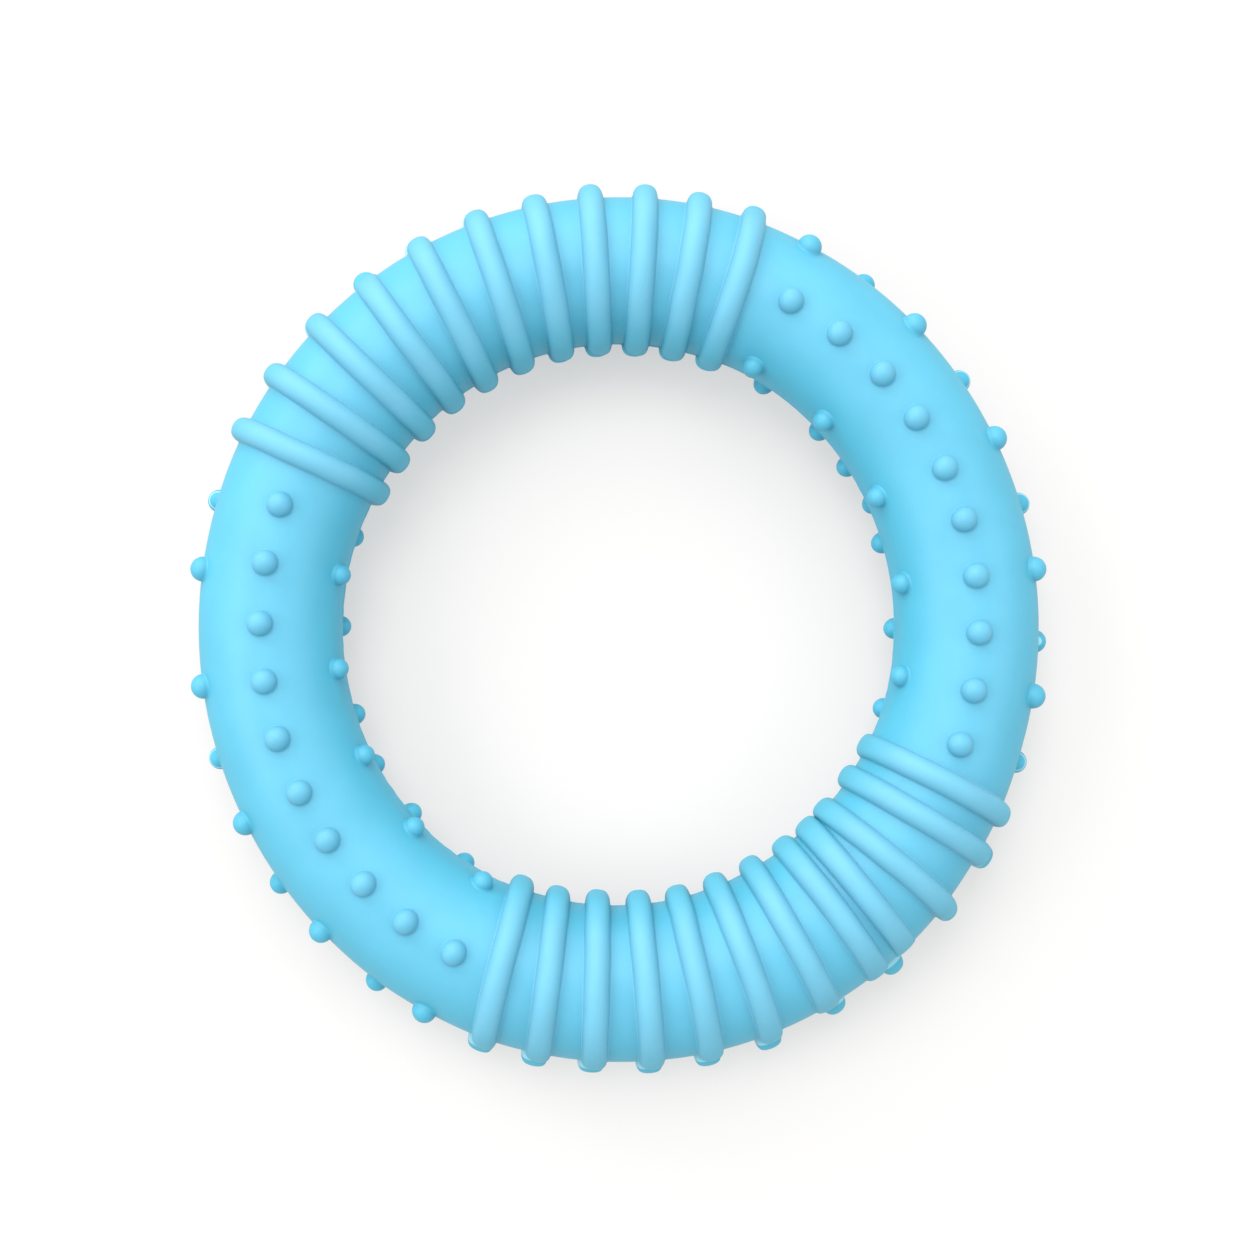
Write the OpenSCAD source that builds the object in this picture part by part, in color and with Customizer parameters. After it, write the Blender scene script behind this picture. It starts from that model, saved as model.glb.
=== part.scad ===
// Chew ring: one soft moulding in the round. An oval tube carries a group of
// half-round ribs at the back and at the front, and rows of nubs at the left
// and at the right. Millimetres, +Z up, +Y towards the back. The ring lies on
// its ribs on the plane Z = 0, with the middle of the hole on the Z axis.

/* [Ring] */
// Width from side to side, at the middle of the tube
ring_w = 100; // [94:1:110]
// Length from front to back, at the middle of the tube
ring_l = 102.5; // [96:0.5:112]
// Thickness of the tube
tube_d = 20.6; // [17:0.2:22]

/* [Ribs] */
// Height of a rib above the tube
rib_h = 1.95; // [1.2:0.05:2.4]
// Width of a rib
rib_w = 3.6; // [2.8:0.1:3.8]
// Where the back group starts, anticlockwise from the right
rib_back_start = 70.7; // [68:0.1:76]
// How far round the back group reaches
rib_back_span = 81.8; // [80:0.1:84]
// Where the front group starts, anticlockwise from the right
rib_front_start = 249.9; // [248:0.1:253]
// How far round the front group reaches
rib_front_span = 85.3; // [83:0.1:88]

/* [Nubs] */
// Width of a nub
nub_d = 3.6; // [2.8:0.1:4]
// Height of a nub above the tube
nub_h = 1.85; // [1.2:0.05:1.95]
// Width of a nub in the rows that face the hole
nub_hole_d = 3.1; // [2.6:0.1:3.4]
// Height of a nub in the rows that face the hole
nub_hole_h = 1.6; // [1.2:0.05:1.95]
// Clear angle between the front ribs and the first right-hand nub
nub_after_front = 6.3; // [5.9:0.1:9]
// Clear angle between the last right-hand nub and the back ribs
nub_before_back = 9.7; // [9:0.1:12]
// Clear angle between the back ribs and the first left-hand nub
nub_after_back = 8.7; // [7.5:0.1:11]
// Clear angle between the last left-hand nub and the front ribs
nub_before_front = 7.9; // [7:0.1:10]

/* [Hidden] */
// Space that keeps each raised feature a solid of its own on the tube
seat_gap = 0.02;

// Ribs, as shares of their group's span, and how many degrees each leans
rib_back_shares = [0, 0.105, 0.195, 0.285, 0.38, 0.485, 0.595, 0.695, 0.8, 0.9, 1];
rib_back_leans = [1.3, 1.6, 0.7, -0.5, -1.3, -1.9, -2.6, -1.4, -0.8, 0.5, 2.4];
rib_front_shares = [0, 0.09, 0.185, 0.285, 0.385, 0.49, 0.59, 0.69, 0.755, 0.83, 0.925, 1];
rib_front_leans = [5, 3.9, 1.8, 0.3, -0.4, -0.5, -0.4, -0.9, -2.5, 0.3, 1, -2.5];
// Counted from nought, the rib whose lower half is out of line with its upper
// half, where that half lies and how it leans, and the next one, which has no
// lower half and stands with this much room on each side between its neighbours
split_rib = 7;
split_lower_share = 0.7;
split_lower_lean = 2.6;
upper_only_rib = 8;
upper_only_room = 0.52;
// How far a lower half laps over the parting plane, in degrees
parting_lap = 0.5;

// Places of the nubs in each row, as shares of their arc's span
nub_line_count = 10;
nub_line_shares = [for (i = [0:nub_line_count - 1]) i / (nub_line_count - 1)];
right_outer_shares = [0.115, 0.33, 0.555, 0.785, 1.015];
right_outer_middle_shares = [0.005, 0.21, 0.44, 0.67, 0.9];
right_outer_lower_shares = [0.09, 0.33, 0.555, 0.785, 1.04];
right_inner_shares = [0.115, 0.335, 0.55, 0.775, 1.005];
right_inner_middle_shares = [0.03, 0.23, 0.445, 0.655, 0.955];
right_inner_lower_shares = [0.115, 0.335, 0.545, 0.77, 1.005];
left_outer_shares = [0.14, 0.33, 0.565, 0.78, 1];
left_outer_middle_shares = [0.02, 0.45, 0.675, 0.905];
left_inner_shares = [0.11, 0.335, 0.55, 0.755, 0.98];
left_inner_middle_shares = [0.005, 0.23, 0.445, 0.725, 0.915];
left_inner_lower_shares = [0.11, 0.335, 0.575, 0.755, 0.98];

quarter = 90;
half_turn = 180;
full_turn = 360;

// How many degrees round the section each nub lies below the middle of the
// tube, and how many degrees above it the upper rows lie
right_outer_middle_dips = [6, 9, 5, 5, 10];
left_outer_middle_dips = [6, 5, 1, 3];
outer_lower_dip = 24;
right_inner_middle_dips = [19, 15, 14, 20, 22];
left_inner_middle_dips = [28, 22, 18, 10, 21];
right_inner_lower_dips = [41, 41, 32, 22, 41];
left_inner_lower_dips = [41, 41, 22, 41, 41];
right_outer_rise = 25;
left_outer_rise = 22;
right_inner_rise = 26;
left_inner_rise = 23;

// Rows that face out of the ring, or straight up or down. Each has its name,
// its shares and the angles of its nubs: 0 faces out of the ring, 90 faces up.
function level(angle, shares) = [for (share = shares) angle];
right_outer_rows = [
    ["nubs_right_top", nub_line_shares, level(quarter, nub_line_shares)],
    ["nubs_right_bottom", nub_line_shares, level(-quarter, nub_line_shares)],
    ["nubs_right_outer_upper", right_outer_shares, level(right_outer_rise, right_outer_shares)],
    ["nubs_right_outer_middle", right_outer_middle_shares, -right_outer_middle_dips],
    ["nubs_right_outer_lower", right_outer_lower_shares,
        level(-outer_lower_dip, right_outer_lower_shares)]
];
left_outer_rows = [
    ["nubs_left_top", nub_line_shares, level(quarter, nub_line_shares)],
    ["nubs_left_bottom", nub_line_shares, level(-quarter, nub_line_shares)],
    ["nubs_left_outer_upper", left_outer_shares, level(left_outer_rise, left_outer_shares)],
    ["nubs_left_outer_middle", left_outer_middle_shares, -left_outer_middle_dips],
    ["nubs_left_outer_lower", left_outer_shares, level(-outer_lower_dip, left_outer_shares)]
];

// Rows that face the hole, where 180 faces straight into it
function facing_hole(dips) = [for (dip = dips) half_turn + dip];
right_inner_rows = [
    ["nubs_right_inner_upper", right_inner_shares,
        level(half_turn - right_inner_rise, right_inner_shares)],
    ["nubs_right_inner_middle", right_inner_middle_shares, facing_hole(right_inner_middle_dips)],
    ["nubs_right_inner_lower", right_inner_lower_shares, facing_hole(right_inner_lower_dips)]
];
left_inner_rows = [
    ["nubs_left_inner_upper", left_inner_shares,
        level(half_turn - left_inner_rise, left_inner_shares)],
    ["nubs_left_inner_middle", left_inner_middle_shares, facing_hole(left_inner_middle_dips)],
    ["nubs_left_inner_lower", left_inner_lower_shares, facing_hole(left_inner_lower_dips)]
];

function numbered(stem, i) = str(stem, i < 9 ? "0" : "", i + 1);

tube_colour = "#7fd8f6";
rib_colour = "#8fdcf2";
nub_colour = "#84dbf8";
tube_fn = 96;
rib_fn = 48;
nub_fn = 32;

tube_r = tube_d / 2;
rest_z = tube_r + rib_h;

// The oval is four arcs that meet square to the diagonals. The arcs at the
// right and left have their centres this far past the middle, and those at the
// back and front the same distance towards their own end.
arc_offset = (ring_l - ring_w) / 2 / (2 - sqrt(2));
nub_right_start = rib_front_start + rib_front_span - full_turn + nub_after_front;
nub_right_span = rib_back_start - nub_before_back - nub_right_start;
nub_left_start = rib_back_start + rib_back_span + nub_after_back;
nub_left_span = rib_front_start - nub_before_front - nub_left_start;
function side_of(angle) =
    floor(((angle + quarter / 2) % full_turn + full_turn) % full_turn / quarter);
function arc_centre(side) = [
    [-arc_offset, 0, 0], [0, arc_offset, 0], [arc_offset, 0, 0], [0, -arc_offset, 0]
][side];
function arc_r(side) = side % 2 == 0 ? ring_w / 2 + arc_offset : ring_l / 2 - arc_offset;

// A foot is straight along the ring, and the side of the tube that faces the
// hole bows up into it by this much over half of the foot's width
hole_r = min(arc_r(0), arc_r(1)) - tube_r;
function bow(half_width) = half_width ^ 2 / (2 * hole_r);

// Puts a child at the middle of the tube, with its X axis square out of the ring
module on_ring(angle) {
    side = side_of(angle);
    translate(arc_centre(side))
        rotate([0, 0, angle])
            translate([arc_r(side), 0, rest_z])
                children();
}

// The bare tube
module ring_core() {
    color(tube_colour)
        for (side = [0:3])
            translate(arc_centre(side) + [0, 0, rest_z])
                rotate([0, 0, quarter * side - quarter / 2])
                    rotate_extrude(angle = quarter, $fn = tube_fn)
                        translate([arc_r(side), 0])
                            circle(r = tube_r, $fn = tube_fn);
}

// A rib's section: a round bar that ends at its foot on the tube. A rib that
// leans meets the tube askew, so its foot is lifted clear by what it leans.
module rib_section(lean, width) {
    bar_r = width / 2;
    foot = tube_r + seat_gap + bow(bar_r) + bar_r * sin(abs(lean));
    intersection() {
        translate([tube_r + rib_h - bar_r, 0]) circle(r = bar_r, $fn = rib_fn);
        translate([foot, -bar_r]) square([rib_h, width]);
    }
}

// A rib all the way round the tube
module rib_ring(angle, lean) {
    on_ring(angle)
        rotate([quarter, 0, lean])
            rotate_extrude($fn = tube_fn) rib_section(lean, rib_w);
}

// The half of a rib that lies over the tube
module rib_upper_half(angle, lean, width) {
    on_ring(angle)
        rotate([quarter, 0, lean])
            rotate_extrude(angle = half_turn, $fn = tube_fn) rib_section(lean, width);
}

// The half that lies under it, lapped over the upper half at both ends
module rib_lower_half(angle, lean) {
    on_ring(angle)
        rotate([quarter, 0, lean])
            rotate([0, 0, half_turn - parting_lap])
                rotate_extrude(angle = half_turn + 2 * parting_lap, $fn = tube_fn)
                    rib_section(lean, rib_w);
}

// Where a rib's foot meets the side of the tube that faces the hole
function toward(angle) = [cos(angle), sin(angle), 0];
function hole_foot(angle, lean) =
    arc_centre(side_of(angle)) + arc_r(side_of(angle)) * toward(angle)
        - tube_r * toward(angle + lean);

// The rib with an upper half only stands midway between its neighbours' feet at
// the hole, and is as wide as their room allows
function front_angle(i) = rib_front_start + rib_front_shares[i] * rib_front_span;
foot_before = hole_foot(front_angle(upper_only_rib - 1), rib_front_leans[upper_only_rib - 1]);
foot_after = hole_foot(front_angle(upper_only_rib + 1), rib_front_leans[upper_only_rib + 1]);
upper_only_w = norm(foot_after - foot_before) - rib_w - 2 * upper_only_room;
upper_only_lean = rib_front_leans[upper_only_rib];
upper_only_side = side_of(front_angle(upper_only_rib));
upper_only_mid = (foot_before + foot_after) / 2 - arc_centre(upper_only_side);
upper_only_angle = atan2(upper_only_mid.y, upper_only_mid.x)
    + atan2(tube_r * sin(upper_only_lean),
            arc_r(upper_only_side) - tube_r * cos(upper_only_lean));

module rib_back(i) {
    color(rib_colour)
        rib_ring(rib_back_start + rib_back_shares[i] * rib_back_span, rib_back_leans[i]);
}

module rib_front(i) {
    lean = rib_front_leans[i];
    color(rib_colour)
        if (i == split_rib) {
            rib_upper_half(front_angle(i), lean, rib_w);
            rib_lower_half(rib_front_start + split_lower_share * rib_front_span, split_lower_lean);
        } else if (i == upper_only_rib) {
            rib_upper_half(upper_only_angle, lean, upper_only_w);
        } else {
            rib_ring(front_angle(i), lean);
        }
}

// A ball turned about the nub's own axis, let into the tube
module nub_ball(width, height) {
    ball_r = width / 2;
    translate([tube_r + height - ball_r, 0, 0])
        rotate([0, quarter, 0])
            rotate_extrude($fn = nub_fn)
                intersection() {
                    circle(r = ball_r, $fn = nub_fn);
                    translate([0, -ball_r]) square([ball_r, width]);
                }
}

// One row of nubs. Each is a dome with a hollow foot that sits on the tube.
module nub_row(row, start, span, width, height) {
    foot_r = tube_r + seat_gap + bow(width / 2);
    color(nub_colour)
        for (i = [0:len(row[1]) - 1])
            on_ring(start + row[1][i] * span)
                difference() {
                    rotate([0, -row[2][i], 0]) nub_ball(width, height);
                    rotate([quarter, 0, 0])
                        cylinder(r = foot_r, h = 2 * width, center = true, $fn = tube_fn);
                }
}

module nub_row_right(row, width, height) {
    nub_row(row, nub_right_start, nub_right_span, width, height);
}

module nub_row_left(row, width, height) {
    nub_row(row, nub_left_start, nub_left_span, width, height);
}

ring_core();
for (i = [0:len(rib_back_shares) - 1])
    rib_back(i);
for (i = [0:len(rib_front_shares) - 1])
    rib_front(i);
for (row = right_outer_rows)
    nub_row_right(row, nub_d, nub_h);
for (row = right_inner_rows)
    nub_row_right(row, nub_hole_d, nub_hole_h);
for (row = left_outer_rows)
    nub_row_left(row, nub_d, nub_h);
for (row = left_inner_rows)
    nub_row_left(row, nub_hole_d, nub_hole_h);
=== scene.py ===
import math
import bmesh
import bpy
from mathutils import Euler, Matrix, Vector, noise


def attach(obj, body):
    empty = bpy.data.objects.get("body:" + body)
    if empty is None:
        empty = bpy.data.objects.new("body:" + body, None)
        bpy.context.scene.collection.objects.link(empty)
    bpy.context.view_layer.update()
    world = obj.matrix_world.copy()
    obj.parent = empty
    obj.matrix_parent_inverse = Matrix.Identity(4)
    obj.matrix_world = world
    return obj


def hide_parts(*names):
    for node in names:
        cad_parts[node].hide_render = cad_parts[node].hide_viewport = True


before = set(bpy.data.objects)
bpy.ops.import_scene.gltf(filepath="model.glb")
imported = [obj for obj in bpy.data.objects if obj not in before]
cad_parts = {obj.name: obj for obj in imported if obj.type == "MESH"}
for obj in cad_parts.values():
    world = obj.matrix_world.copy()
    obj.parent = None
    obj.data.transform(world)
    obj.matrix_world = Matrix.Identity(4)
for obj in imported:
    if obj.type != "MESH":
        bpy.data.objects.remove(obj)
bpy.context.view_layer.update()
print("frame loaded:", len(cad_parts), "nodes")


# The ring: an oval of four arcs that lies on the floor. Angles run round it
# anticlockwise from the right, and sections run round the tube from its
# outside, over the top.
ring = {
    "width": 0.100,
    "length": 0.1025,
    "tubeRadius": 0.0103,
    "middleHeight": 0.01225,
    "roundSteps": 480,
    "sectionSteps": 96,
    # half of the tube's thickness seen from above, in mm, at each angle
    "halfWidths": [(0, 10.25), (30, 10.15), (60, 10.15), (78, 10.4), (150, 10.4),
                   (168, 10.25), (205, 10.25), (225, 10.42), (240, 10.67), (255, 11.04),
                   (270, 11.15), (285, 11.25), (315, 11.12), (330, 10.66), (345, 10.27)],
}
arcOffset = (ring["length"] - ring["width"]) / 2 / (2 - math.sqrt(2))
mergeReach = 1e-6  # points nearer than this are one


def arcAt(angle):
    side = int((angle + 45) % 360 // 90)
    shift = ((-arcOffset, 0), (0, arcOffset), (arcOffset, 0), (0, -arcOffset))[side]
    if side % 2 == 0:
        return shift, ring["width"] / 2 + arcOffset
    return shift, ring["length"] / 2 - arcOffset


def easeBetween(low, high, share):
    return low + (high - low) * share * share * (3 - 2 * share)


def halfWidthAt(angle):
    angle %= 360
    points = ring["halfWidths"] + [(360, ring["halfWidths"][0][1])]
    for (start, low), (end, high) in zip(points, points[1:]):
        if angle <= end:
            return easeBetween(low, high, (angle - start) / (end - start)) / 1000


# A point on the tube's skin, or at a height above it
def onTube(angle, section, height):
    shift, radius = arcAt(angle)
    wide, tall = halfWidthAt(angle), ring["tubeRadius"]
    facing = Vector((math.cos(section) / wide, math.sin(section) / tall)).normalized()
    across = radius + wide * math.cos(section) + facing.x * height
    turn = math.radians(angle)
    return Vector((shift[0] + across * math.cos(turn), shift[1] + across * math.sin(turn),
                   ring["middleHeight"] + tall * math.sin(section) + facing.y * height))


# The thin flash of the mould's parting line, half way up, in metres
flash = {
    "height": 0.00012,
    "reach": 0.00018,
    # how even and how ragged its edge is, and how fine the raggedness
    "even": 0.75,
    "ragged": 0.6,
    "raggedScale": 700,
    # the bare tube's share of it at the outside, and what is added at the hole
    "outside": 0.3,
    "atHole": 0.9,
    # levels in mm above and below the line at which the meshes are cut for it
    "cuts": [-0.30, -0.15, -0.06, 0.0, 0.06, 0.15, 0.30],
}


def flashAt(level, place):
    near = max(0.0, 1 - abs(level) / flash["reach"])
    edge = flash["even"] + flash["ragged"] * noise.noise(place * flash["raggedScale"])
    return flash["height"] * near * max(0.0, edge)


def cutAtParting(bm, cuts=flash["cuts"]):
    for level in cuts:
        bmesh.ops.bisect_plane(bm, geom=bm.verts[:] + bm.edges[:] + bm.faces[:], dist=1e-7,
                               plane_co=(0, 0, level / 1000), plane_no=(0, 0, 1))


def finishPiece(bm, name, material, nodes):
    bmesh.ops.recalc_face_normals(bm, faces=bm.faces[:])
    mesh = bpy.data.meshes.new(name)
    bm.to_mesh(mesh)
    bm.free()
    mesh.polygons.foreach_set("use_smooth", [True] * len(mesh.polygons))
    mesh.materials.append(material)
    piece = bpy.data.objects.new(name, mesh)
    bpy.context.scene.collection.objects.link(piece)
    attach(piece, "root")
    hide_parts(*nodes)


# Soft moulded rubber: an even blue with faint mottling and a fine satin grain,
# with painted shade down the flanks and a painted highlight along the parting line
rubbers = {
    "tube": {"light": (0.092, 0.338, 0.474), "dark": (0.086, 0.321, 0.450), "roughness": 0.45,
             "grain": 0.06},
    "ribs": {"light": (0.118, 0.345, 0.474), "dark": (0.111, 0.328, 0.450), "roughness": 0.52,
             "grain": 0.10},
    "nubs": {"light": (0.098, 0.330, 0.468), "dark": (0.092, 0.313, 0.444), "roughness": 0.46,
             "grain": 0.06},
}

# What all the rubber shares. Each range is two lengths in metres, then the
# share that holds at each of them.
finish = {
    "mottleScale": 130,
    "mottleDetail": 4,
    "mottleStops": (0.35, 0.65),
    "grainScale": 2200,
    "grainDetail": 3,
    "grainDepth": 0.0002,
    "roughnessPlay": 0.05,
    "ior": 1.5,
    "specular": 0.27,
    # painted shade: the colour is multiplied darker on the flanks, fully within 4 mm of the parting
    # line's level and fading out towards the top and bottom of the tube
    "paintedFlankShade": (0.58, 0.95, 0.94),
    "paintedFlankShadeAt": (0.004, 0.0098, 1.0, 0.0),  # above or below the parting line
    # painted highlight: a paler line along the parting line, where the flash lip catches light
    "paintedPartingHighlight": (0.34, 0.58, 0.67),
    "paintedPartingHighlightAt": (0.00006, 0.00016, 0.75, 0.0),  # above or below the parting line
    "outside": (0.045, 0.057, 0.15, 1.0),  # from the middle of the hole
}


def addNoise(tree, place, scale, detail):
    node = tree.nodes.new("ShaderNodeTexNoise")
    node.inputs["Scale"].default_value = scale
    node.inputs["Detail"].default_value = detail
    tree.links.new(place, node.inputs["Vector"])
    return node.outputs["Fac"]


def addRange(tree, value, ends):
    node = tree.nodes.new("ShaderNodeMapRange")
    for socket, end in zip(("From Min", "From Max", "To Min", "To Max"), ends):
        node.inputs[socket].default_value = end
    tree.links.new(value, node.inputs["Value"])
    return node.outputs["Result"]


def addMath(tree, operation, value):
    node = tree.nodes.new("ShaderNodeMath")
    node.operation = operation
    tree.links.new(value, node.inputs[0])
    return node


def addMix(tree, blend, share, under, colour):
    node = tree.nodes.new("ShaderNodeMix")
    node.data_type = "RGBA"
    node.blend_type = blend
    node.inputs["B"].default_value = (*colour, 1)
    tree.links.new(share, node.inputs["Factor"])
    tree.links.new(under, node.inputs["A"])
    return node.outputs["Result"]


def makeRubber(name, look):
    material = bpy.data.materials.new(name)
    material.use_nodes = True
    tree = material.node_tree
    shader = tree.nodes["Principled BSDF"]
    place = tree.nodes.new("ShaderNodeTexCoord").outputs["Object"]

    mottle = addNoise(tree, place, finish["mottleScale"], finish["mottleDetail"])
    colours = tree.nodes.new("ShaderNodeValToRGB")
    for i, shade in enumerate(("dark", "light")):
        colours.color_ramp.elements[i].position = finish["mottleStops"][i]
        colours.color_ramp.elements[i].color = (*look[shade], 1)
    tree.links.new(mottle, colours.inputs["Fac"])

    # how far the point is above or below the parting line
    split = tree.nodes.new("ShaderNodeSeparateXYZ")
    tree.links.new(place, split.inputs["Vector"])
    level = addMath(tree, "SUBTRACT", split.outputs["Z"])
    level.inputs[1].default_value = ring["middleHeight"]
    off = addMath(tree, "ABSOLUTE", level.outputs[0]).outputs[0]
    # painted shade on the flanks, fading out towards the top and bottom of the tube
    paintedFlankShade = addMix(tree, "MULTIPLY", addRange(tree, off, finish["paintedFlankShadeAt"]),
                    colours.outputs["Color"], finish["paintedFlankShade"])

    # the parting line, with a painted highlight where the flash lip catches light, fainter towards
    # the hole
    away = tree.nodes.new("ShaderNodeVectorMath")
    away.operation = "LENGTH"
    tree.links.new(place, away.inputs[0])
    share = addMath(tree, "MULTIPLY", addRange(tree, off, finish["paintedPartingHighlightAt"]))
    tree.links.new(addRange(tree, away.outputs["Value"], finish["outside"]), share.inputs[1])
    paintedPartingHighlight = addMix(tree, "MIX", share.outputs[0], paintedFlankShade, finish["paintedPartingHighlight"])
    tree.links.new(paintedPartingHighlight, shader.inputs["Base Color"])

    bump = tree.nodes.new("ShaderNodeBump")
    bump.inputs["Strength"].default_value = look["grain"]
    bump.inputs["Distance"].default_value = finish["grainDepth"]
    grain = addNoise(tree, place, finish["grainScale"], finish["grainDetail"])
    tree.links.new(grain, bump.inputs["Height"])
    tree.links.new(bump.outputs["Normal"], shader.inputs["Normal"])
    play = finish["roughnessPlay"]
    dull = addRange(tree, mottle, (0.0, 1.0, look["roughness"] - play, look["roughness"] + play))
    tree.links.new(dull, shader.inputs["Roughness"])

    shader.inputs["IOR"].default_value = finish["ior"]
    shader.inputs["Specular IOR Level"].default_value = finish["specular"]
    return material


tubeRubber = makeRubber("soft blue rubber", rubbers["tube"])
ribRubber = makeRubber("soft blue rubber of the ribs", rubbers["ribs"])
nubRubber = makeRubber("soft blue rubber of the nubs", rubbers["nubs"])
print("rubbers made")


# The bare tube: a round section spun into a ring, then carried to the oval
def buildTube():
    bm = bmesh.new()
    radius = ring["width"] / 2
    upright = Matrix.Translation((radius, 0, 0)) @ Matrix.Rotation(math.pi / 2, 4, "X")
    bmesh.ops.create_circle(bm, segments=ring["sectionSteps"], radius=ring["tubeRadius"],
                            matrix=upright)
    bmesh.ops.spin(bm, geom=bm.verts[:] + bm.edges[:], cent=(0, 0, 0), axis=(0, 0, 1),
                   angle=math.tau, steps=ring["roundSteps"], use_merge=True)
    bmesh.ops.remove_doubles(bm, verts=bm.verts[:], dist=mergeReach)
    cutAtParting(bm)
    for v in bm.verts:
        angle = math.degrees(math.atan2(v.co.y, v.co.x))
        across = math.hypot(v.co.x, v.co.y) - radius
        section = math.atan2(v.co.z, across)
        inside = max(0.0, -math.cos(section))
        height = flashAt(v.co.z, v.co) * (flash["outside"] + flash["atHole"] * inside)
        v.co = onTube(angle, section, height)
    finishPiece(bm, "bareTube", tubeRubber, ["ring_core"])


buildTube()
print("tube made")


# The ribs: half-round beads with a filleted root, spun round the tube. Each is
# in an upper and a lower half that don't quite meet in line.
ribs = {
    "radius": 0.0018,
    "height": 0.00195,
    "fillet": 0.00035,
    "sunk": 0.00003,
    "depth": 0.0006,
    "domeSteps": 14,
    "filletSteps": 4,
    "turnSteps": 96,
    "lap": 0.6,  # degrees that an upper half runs past the parting line
    # how many degrees a lower half's outer end takes to round up to its full
    # height, and the levels in mm at which it is cut for that
    "ledgeTurn": 8,
    "ledgeCuts": [-1.7, -1.1, -0.6],
    # how soon an end's own shape fades away from it, how much of its bluntness
    # only the bead's crown takes, and the share of the bead's height from which a
    # taller end is fully taller
    "endPower": 3,
    "crownPower": 4,
    "fullFrom": 0.4,
    # how far a bead wanders off its line in metres, and how quickly that changes
    # from one rib to the next, round the tube and in all
    "wander": 0.00007,
    "wanderApart": 0.37,
    "wanderRound": 1.7,
    "wanderScale": 1.6,
    # how much of an offset at each end moves a lower half's middle, and how much
    # it leans for each degree that the two offsets differ by
    "outerShare": 0.63,
    "holeShare": 0.37,
    "leanShare": 1.8,
    # how much blunter the ends are than a half round, outside and at the hole
    "blunt": (0.25, 0.25),
    # angle, lean, bow, and how far the outer end and the end at the hole stand out in mm
    "backUpper": [(70.7, 2.3, -0.55, 1.60, 1.60), (78.6, 1.4, -0.3, 1.80, 1.58),
                  (86.3, 0.5, -0.15, 1.90, 1.62), (94.0, -0.2, -0.15, 1.95, 1.62),
                  (101.9, -1.0, -0.15, 1.55, 1.62), (110.4, -2.0, -0.05, 1.70, 1.68),
                  (119.1, -2.2, 0.1, 1.50, 1.76), (127.7, -1.3, 0.35, 0.60, 1.58),
                  (136.4, -0.4, 0.3, 1.70, 1.64), (144.8, 0.7, 0.05, 1.80, 1.72),
                  (152.8, 2.4, 0.2, 1.80, 1.74)],
    "frontUpper": [(250.2, 5.8, -0.1, 1.45, 2.00), (258.05, 4.6, 0.2, 1.20, 1.97),
                   (266.2, 2.4, 0.1, 1.20, 2.26), (274.5, 0.4, 0.1, 1.22, 2.17),
                   (282.8, -0.8, 0.25, 1.20, 1.93), (291.4, -1.3, 0.3, 1.20, 1.97),
                   (300.1, -1.3, 0.25, 0.50, 1.93), (308.4, -1.9, 0.3, 0.55, 1.50),
                   (314.0, -4.6, 0.05, 0.20, 1.15), (320.6, 0.0, 0.25, 1.82, 1.25),
                   (328.8, 0.7, 0.1, 1.60, 1.45), (335.1, -2.7, 0.15, 1.60, 1.28)],
    # how many degrees the lower half's two ends lie off the upper one's, how far they
    # stand out, how blunt the outer one is, and how much wider
    "backLower": [(-0.10, 0.50, 2.86, 1.64, 0.10, 0), (-0.10, 0.45, 2.45, 1.62, 0.10, 0),
                  (0, 0.45, 2.16, 1.66, 0.25, 0), (0, 0.50, 2.07, 1.66, 0.25, 0),
                  (0.10, 0.40, 1.62, 1.66, 0.25, 0), (0.20, 0.20, 1.86, 1.70, 0.25, 0),
                  (0.35, 0, 1.90, 1.79, 0.25, 0.05), (0.10, 0, 2.36, 1.62, 0.05, 0),
                  (0.25, 0, 2.12, 1.66, 0.20, 0), (0.10, 0, 1.94, 1.74, 0.20, 0),
                  (0, 0, 1.88, 1.76, 0.15, 0)],
    "frontLower": [(-0.40, 0, 2.55, 2.00, 0.50, 0.12), (-0.45, 0, 2.49, 1.97, 0.50, 0.12),
                   (-0.40, 0, 2.24, 2.24, 0.50, 0.12), (-0.40, 0, 2.36, 2.12, 0.45, 0.12),
                   (-0.45, 0, 2.43, 1.93, 0.50, 0.12), (-0.45, 0, 2.62, 1.97, 0.50, 0.12),
                   (1.00, 0, 2.20, 1.70, 0.20, 0), (2.40, 0, 2.44, 1.00, 0.20, 0), None,
                   (0, 0, 2.74, 1.20, 0.10, 0), (-0.05, 0, 2.74, 1.40, 0.30, 0.05),
                   (0, 0, 1.92, 1.20, 0.35, 0)],
}


def beadProfile(radius, height, fillet, sunk, depth, domeSteps, filletSteps):
    rise = height - radius
    foot = math.sqrt((radius + fillet) ** 2 - (fillet - rise) ** 2)
    meet = math.atan2(fillet - rise, foot)
    half = []
    for i in range(filletSteps + 1):
        swing = -math.pi / 2 - (math.pi / 2 - meet) * i / filletSteps
        half.append((foot + fillet * math.cos(swing), fillet + fillet * math.sin(swing)))
    for i in range(1, domeSteps + 1):
        swing = meet + (math.pi / 2 - meet) * i / domeSteps
        half.append((radius * math.cos(swing), rise + radius * math.sin(swing)))
    lifted = [(across, max(up, 0) - sunk * (1 - max(up, 0) / height)) for across, up in half]
    return [(foot, -depth)] + lifted


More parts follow.
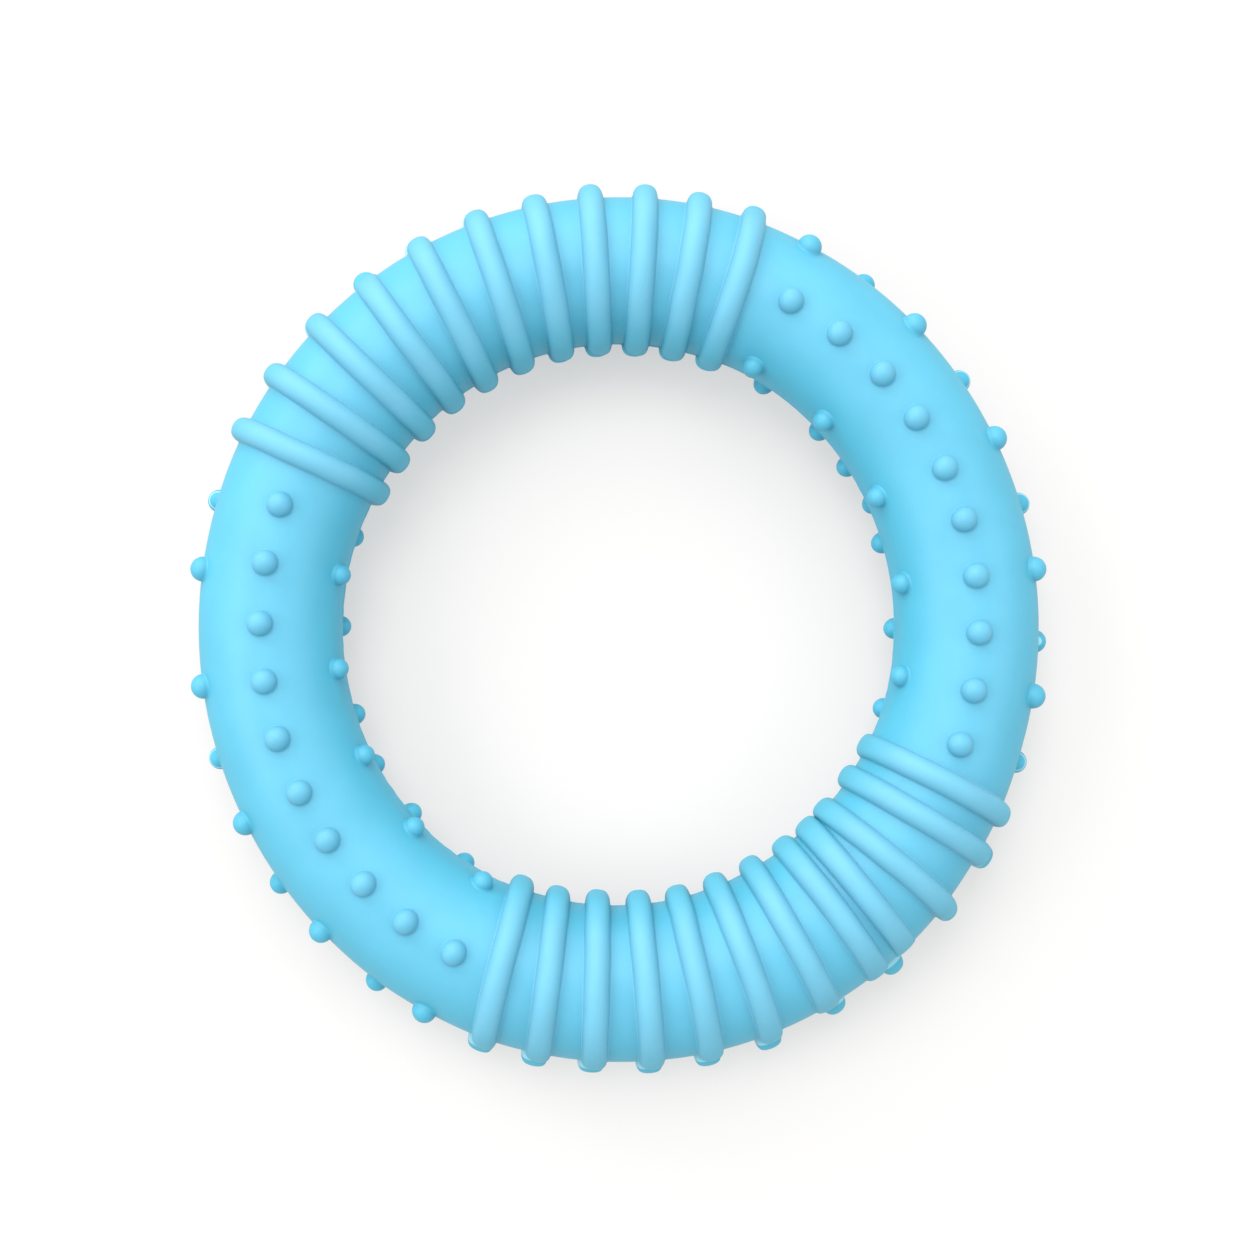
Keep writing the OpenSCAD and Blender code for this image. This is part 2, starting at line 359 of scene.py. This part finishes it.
def spinBead(bm, profile, start, sweep, steps):
    line = [(-across, up) for across, up in profile] + list(reversed(profile))[1:]
    made = []
    for across, up in line:
        reach = ring["tubeRadius"] + up
        made.append(bm.verts.new((reach * math.cos(start), across, reach * math.sin(start))))
    edges = [bm.edges.new(pair) for pair in zip(made, made[1:] + made[:1])]
    bmesh.ops.spin(bm, geom=made + edges, cent=(0, 0, 0), axis=(0, -1, 0), angle=sweep,
                   steps=steps)
    bmesh.ops.remove_doubles(bm, verts=bm.verts[:], dist=mergeReach)
    bmesh.ops.holes_fill(bm, edges=[e for e in bm.edges if e.is_boundary], sides=0)


# Carries a bead to its place, with its lean and bow, and with each end as tall
# and blunt as its row says. The ledge is the share of its height that a lower
# half's outer end has at the parting line, where the upper half ends.
def layBead(bm, row, blunt, spread=0.0, ledge=1.0):
    angle, lean, bow, *tips = row
    tilt = math.tan(math.radians(lean))
    shift, radius = arcAt(angle)
    wide = halfWidthAt(angle)
    for v in bm.verts:
        section = math.atan2(v.co.z, v.co.x)
        height = math.hypot(v.co.x, v.co.z) - ring["tubeRadius"]
        side = math.cos(section)
        end = abs(side) ** ribs["endPower"]
        along = v.co.y * (1 + spread * end * (side > 0))
        if height > 0:
            crown = min(1.0, height / ribs["height"])
            along *= 1 + blunt[side < 0] * crown ** ribs["crownPower"] * end
            gain = tips[side < 0] / 1000 - ribs["height"]
            taller = easeBetween(0, 1, min(1, crown / ribs["fullFrom"]))
            height += gain * end * (crown if gain < 0 else taller)
            if ledge < 1 and side > 0:
                near = min(1.0, abs(math.degrees(section)) / ribs["ledgeTurn"])
                height *= ledge + (1 - ledge) * math.sin(near * math.pi / 2)
            height += flashAt(v.co.z, v.co + Vector((angle, 0, 0))) * crown
        swing = ribs["wanderRound"]
        where = Vector((angle * ribs["wanderApart"], math.cos(section) * swing,
                        math.sin(section) * swing))
        reach = (wide + height) * side
        along += ribs["wander"] * noise.noise(where * ribs["wanderScale"]) + reach * tilt
        turn = math.degrees(along / (radius + reach)) + bow * (1 - side * side)
        v.co = onTube(angle + turn, section, height)


# The middle and the lean of a lower half whose two ends lie so far off the upper
# one's. A lean turns the end at the hole by more than the outer end.
def lowerRow(upper, lower):
    angle, lean, bow = upper[:3]
    outside, atHole, *tips = lower[:4]
    middle = angle + ribs["outerShare"] * outside + ribs["holeShare"] * atHole
    return (middle, lean + ribs["leanShare"] * (outside - atHole), bow, *tips)


def buildRib(name, node, upper, lower):
    profile = beadProfile(ribs["radius"], ribs["height"], ribs["fillet"], ribs["sunk"],
                          ribs["depth"], ribs["domeSteps"], ribs["filletSteps"])
    bm = bmesh.new()
    lap = math.radians(ribs["lap"])
    spinBead(bm, profile, -lap, math.pi + 2 * lap, ribs["turnSteps"] // 2)
    cutAtParting(bm)
    layBead(bm, upper, ribs["blunt"])
    if lower is not None:
        under = bmesh.new()
        spinBead(under, profile, math.pi, math.pi, ribs["turnSteps"] // 2)
        cutAtParting(under, ribs["ledgeCuts"] + flash["cuts"])
        row = lowerRow(upper, lower)
        outerBlunt, spread = lower[4:]
        layBead(under, row, (outerBlunt, ribs["blunt"][1]), spread, upper[3] / row[3])
        half = bpy.data.meshes.new("lowerHalf")
        under.to_mesh(half)
        under.free()
        bm.from_mesh(half)
        bpy.data.meshes.remove(half)
    finishPiece(bm, name, ribRubber, [node])


for side in ("back", "front"):
    for i, (upper, lower) in enumerate(zip(ribs[side + "Upper"], ribs[side + "Lower"])):
        buildRib(f"{side}Rib{i + 1}", f"rib_{side}_{i + 1:02d}", upper, lower)
print("ribs made:", len(ribs["backUpper"]) + len(ribs["frontUpper"]))


# The nubs: small domes with a filleted root, in rows along the two bare arcs.
# Each row has its kind of nub, the nubs' places round the ring, and their
# angles round the section, where 0 faces out and 90 faces up.
nubs = {
    # radius and height
    "kinds": {"large": (0.00178, 0.00190), "side": (0.00166, 0.00175),
              "hole": (0.00153, 0.00160), "highHole": (0.00153, 0.00180)},
    "fillet": 0.00030,
    "sunk": 0.00003,
    "depth": 0.0006,
    "domeSteps": 9,
    "filletSteps": 3,
    "turnSteps": 32,
    "rows": {
        "right_top": ("large", [-18.5, -10, -1.1, 7.6, 16.4, 24.8, 33.6, 42.1, 51.5, 61], 90),
        "right_bottom": ("large", [-18.5, -10, -1.1, 7.6, 16.4, 24.8, 33.6, 42.1, 51.5, 61], -90),
        "right_outer_upper": ("large", [-9.2, 7.6, 25.7, 44.1, 62.4], [23, 26, 25, 29, 29]),
        "right_outer_middle": ("side", [-18, -1.8, 16.6, 34.7, 53.2], [-6, -9, -5, -5, -10]),
        "right_outer_lower": ("large", [-11.3, 7.6, 25.7, 44.1, 64.2], [-24, -27, -27, -27, -24]),
        "right_inner_upper": ("highHole", [-9.5, 8.2, 25.3, 43.1, 61.3], [154, 154, 153, 155, 155]),
        "right_inner_middle": ("hole", [-16, -0.1, 17, 33.6, 57.6], [199, 195, 194, 200, 202]),
        "right_inner_lower": ("hole", [-9.5, 8.2, 24.9, 42.5, 61.3], [221, 221, 212, 202, 221]),
        "left_top": ("large", [161.2, 170.4, 179.7, 188.6, 197.6, 206.5, 214.9, 223.6, 232.7, 242],
                     90),
        "left_bottom": ("large", [161.2, 170.4, 179.7, 188.6, 197.6, 206.5, 214.9, 223.6, 232.7,
                                  242], -90),
        "left_outer_upper": ("large", [172.4, 187.9, 206.8, 224.2, 242.2], [22, 23, 20, 22, 20]),
        "left_outer_middle": ("side", [163, 197.5, 215.9, 234.4], [-6, -5, -1, -3]),
        "left_outer_lower": ("large", [172.4, 187.9, 206.8, 224.2, 242.2], -27),
        "left_inner_upper": ("highHole", [170, 188.1, 205.5, 222.4, 240.4],
                             [158, 157, 157, 157, 155]),
        "left_inner_middle": ("hole", [161.8, 179.6, 197.2, 219.9, 235], [208, 202, 198, 190, 201]),
        "left_inner_lower": ("hole", [170, 188.1, 207.8, 222.4, 240.4], [221, 221, 202, 221, 221]),
    },
}


def buildNub(row, radius, height, angle, section):
    profile = beadProfile(radius, height, nubs["fillet"], nubs["sunk"], nubs["depth"],
                          nubs["domeSteps"], nubs["filletSteps"])
    bm = bmesh.new()
    made = [bm.verts.new((across, 0, up)) for across, up in [(0, profile[0][1])] + profile]
    edges = [bm.edges.new(pair) for pair in zip(made, made[1:])]
    bmesh.ops.spin(bm, geom=made + edges, cent=(0, 0, 0), axis=(0, 0, 1), angle=math.tau,
                   steps=nubs["turnSteps"], use_merge=True)
    bmesh.ops.remove_doubles(bm, verts=bm.verts[:], dist=mergeReach)
    middle = math.radians(section)
    reach = arcAt(angle)[1] + halfWidthAt(angle) * math.cos(middle)
    for v in bm.verts:
        turn = math.degrees(v.co.x / reach)
        v.co = onTube(angle + turn, middle + v.co.y / ring["tubeRadius"], v.co.z)
    oneNub = bpy.data.meshes.new("oneNub")
    bm.to_mesh(oneNub)
    bm.free()
    row.from_mesh(oneNub)
    bpy.data.meshes.remove(oneNub)


for rowName, (kind, angles, sections) in nubs["rows"].items():
    row = bmesh.new()
    if not isinstance(sections, list):
        sections = [sections] * len(angles)
    for angle, section in zip(angles, sections):
        buildNub(row, *nubs["kinds"][kind], angle, section)
    finishPiece(row, "nubs_" + rowName + "_row", nubRubber, ["nubs_" + rowName])
print("nub rows made:", len(nubs["rows"]))


# A plain white floor in a light tent: soft panels all round, more of them at
# the left and the far side, and an even, slightly cool sky. The floor glows a
# little, so the shadows on it stay faint.
studio = {
    "floorSize": 6.0,
    "floorColour": (0.300, 0.280, 0.270),
    "floorRoughness": 0.9,
    "floorSpecular": 0.1,
    "floorGlow": (0.492, 0.478, 0.478),
    "sky": (1.0, 1.14, 1.14),
    "panelSize": 0.75,
    "panelDistance": 1.42,
    # name, direction round the ring and above the floor in degrees, power
    "panels": [("overheadBack", 110, 68, 9.0), ("lowLeft", 135, 25, 7.6), ("left", 185, 40, 7.2),
               ("back", 90, 40, 4.7), ("lowBack", 100, 15, 4.1), ("right", 0, 40, 3.6)],
}


def buildStudio():
    bm = bmesh.new()
    bmesh.ops.create_grid(bm, x_segments=1, y_segments=1, size=studio["floorSize"] / 2)
    mesh = bpy.data.meshes.new("floor")
    bm.to_mesh(mesh)
    bm.free()
    floor = bpy.data.objects.new("floor", mesh)
    bpy.context.scene.collection.objects.link(floor)
    white = bpy.data.materials.new("white floor")
    white.use_nodes = True
    surface = white.node_tree.nodes["Principled BSDF"]
    surface.inputs["Base Color"].default_value = (*studio["floorColour"], 1)
    surface.inputs["Roughness"].default_value = studio["floorRoughness"]
    surface.inputs["Specular IOR Level"].default_value = studio["floorSpecular"]
    surface.inputs["Emission Color"].default_value = (*studio["floorGlow"], 1)
    surface.inputs["Emission Strength"].default_value = 1.0
    mesh.materials.append(white)

    for name, turn, rise, power in studio["panels"]:
        light = bpy.data.lights.new(name, "AREA")
        light.shape = "DISK"
        light.size = studio["panelSize"]
        light.energy = power
        panel = bpy.data.objects.new(name, light)
        facing = Euler((0, -math.radians(rise), math.radians(turn))).to_matrix() @ Vector((1, 0, 0))
        panel.location = facing * studio["panelDistance"]
        panel.rotation_euler = facing.to_track_quat("Z", "Y").to_euler()
        bpy.context.scene.collection.objects.link(panel)

    world = bpy.data.worlds.new("studio")
    world.use_nodes = True
    sky = world.node_tree.nodes["Background"]
    sky.inputs["Color"].default_value = (*studio["sky"], 1)
    sky.inputs["Strength"].default_value = 1.0
    bpy.context.scene.world = world


buildStudio()
print("studio made")


# The camera looks straight down, 300 mm above the middle of the tube
view = {
    "place": (-0.0041, -0.0090, 0.31225),
    "lens": 59.84,
    "shift": (0.0295, 0.0502),
    "sensor": 36,
    "nearest": 0.01,
}
camera = bpy.data.objects.new("camera", bpy.data.cameras.new("camera"))
camera.location = view["place"]
camera.data.sensor_width = view["sensor"]
camera.data.lens = view["lens"]
camera.data.shift_x, camera.data.shift_y = view["shift"]
camera.data.clip_start = view["nearest"]
bpy.context.scene.collection.objects.link(camera)
bpy.context.scene.camera = camera
bpy.context.scene.view_settings.view_transform = "Standard"
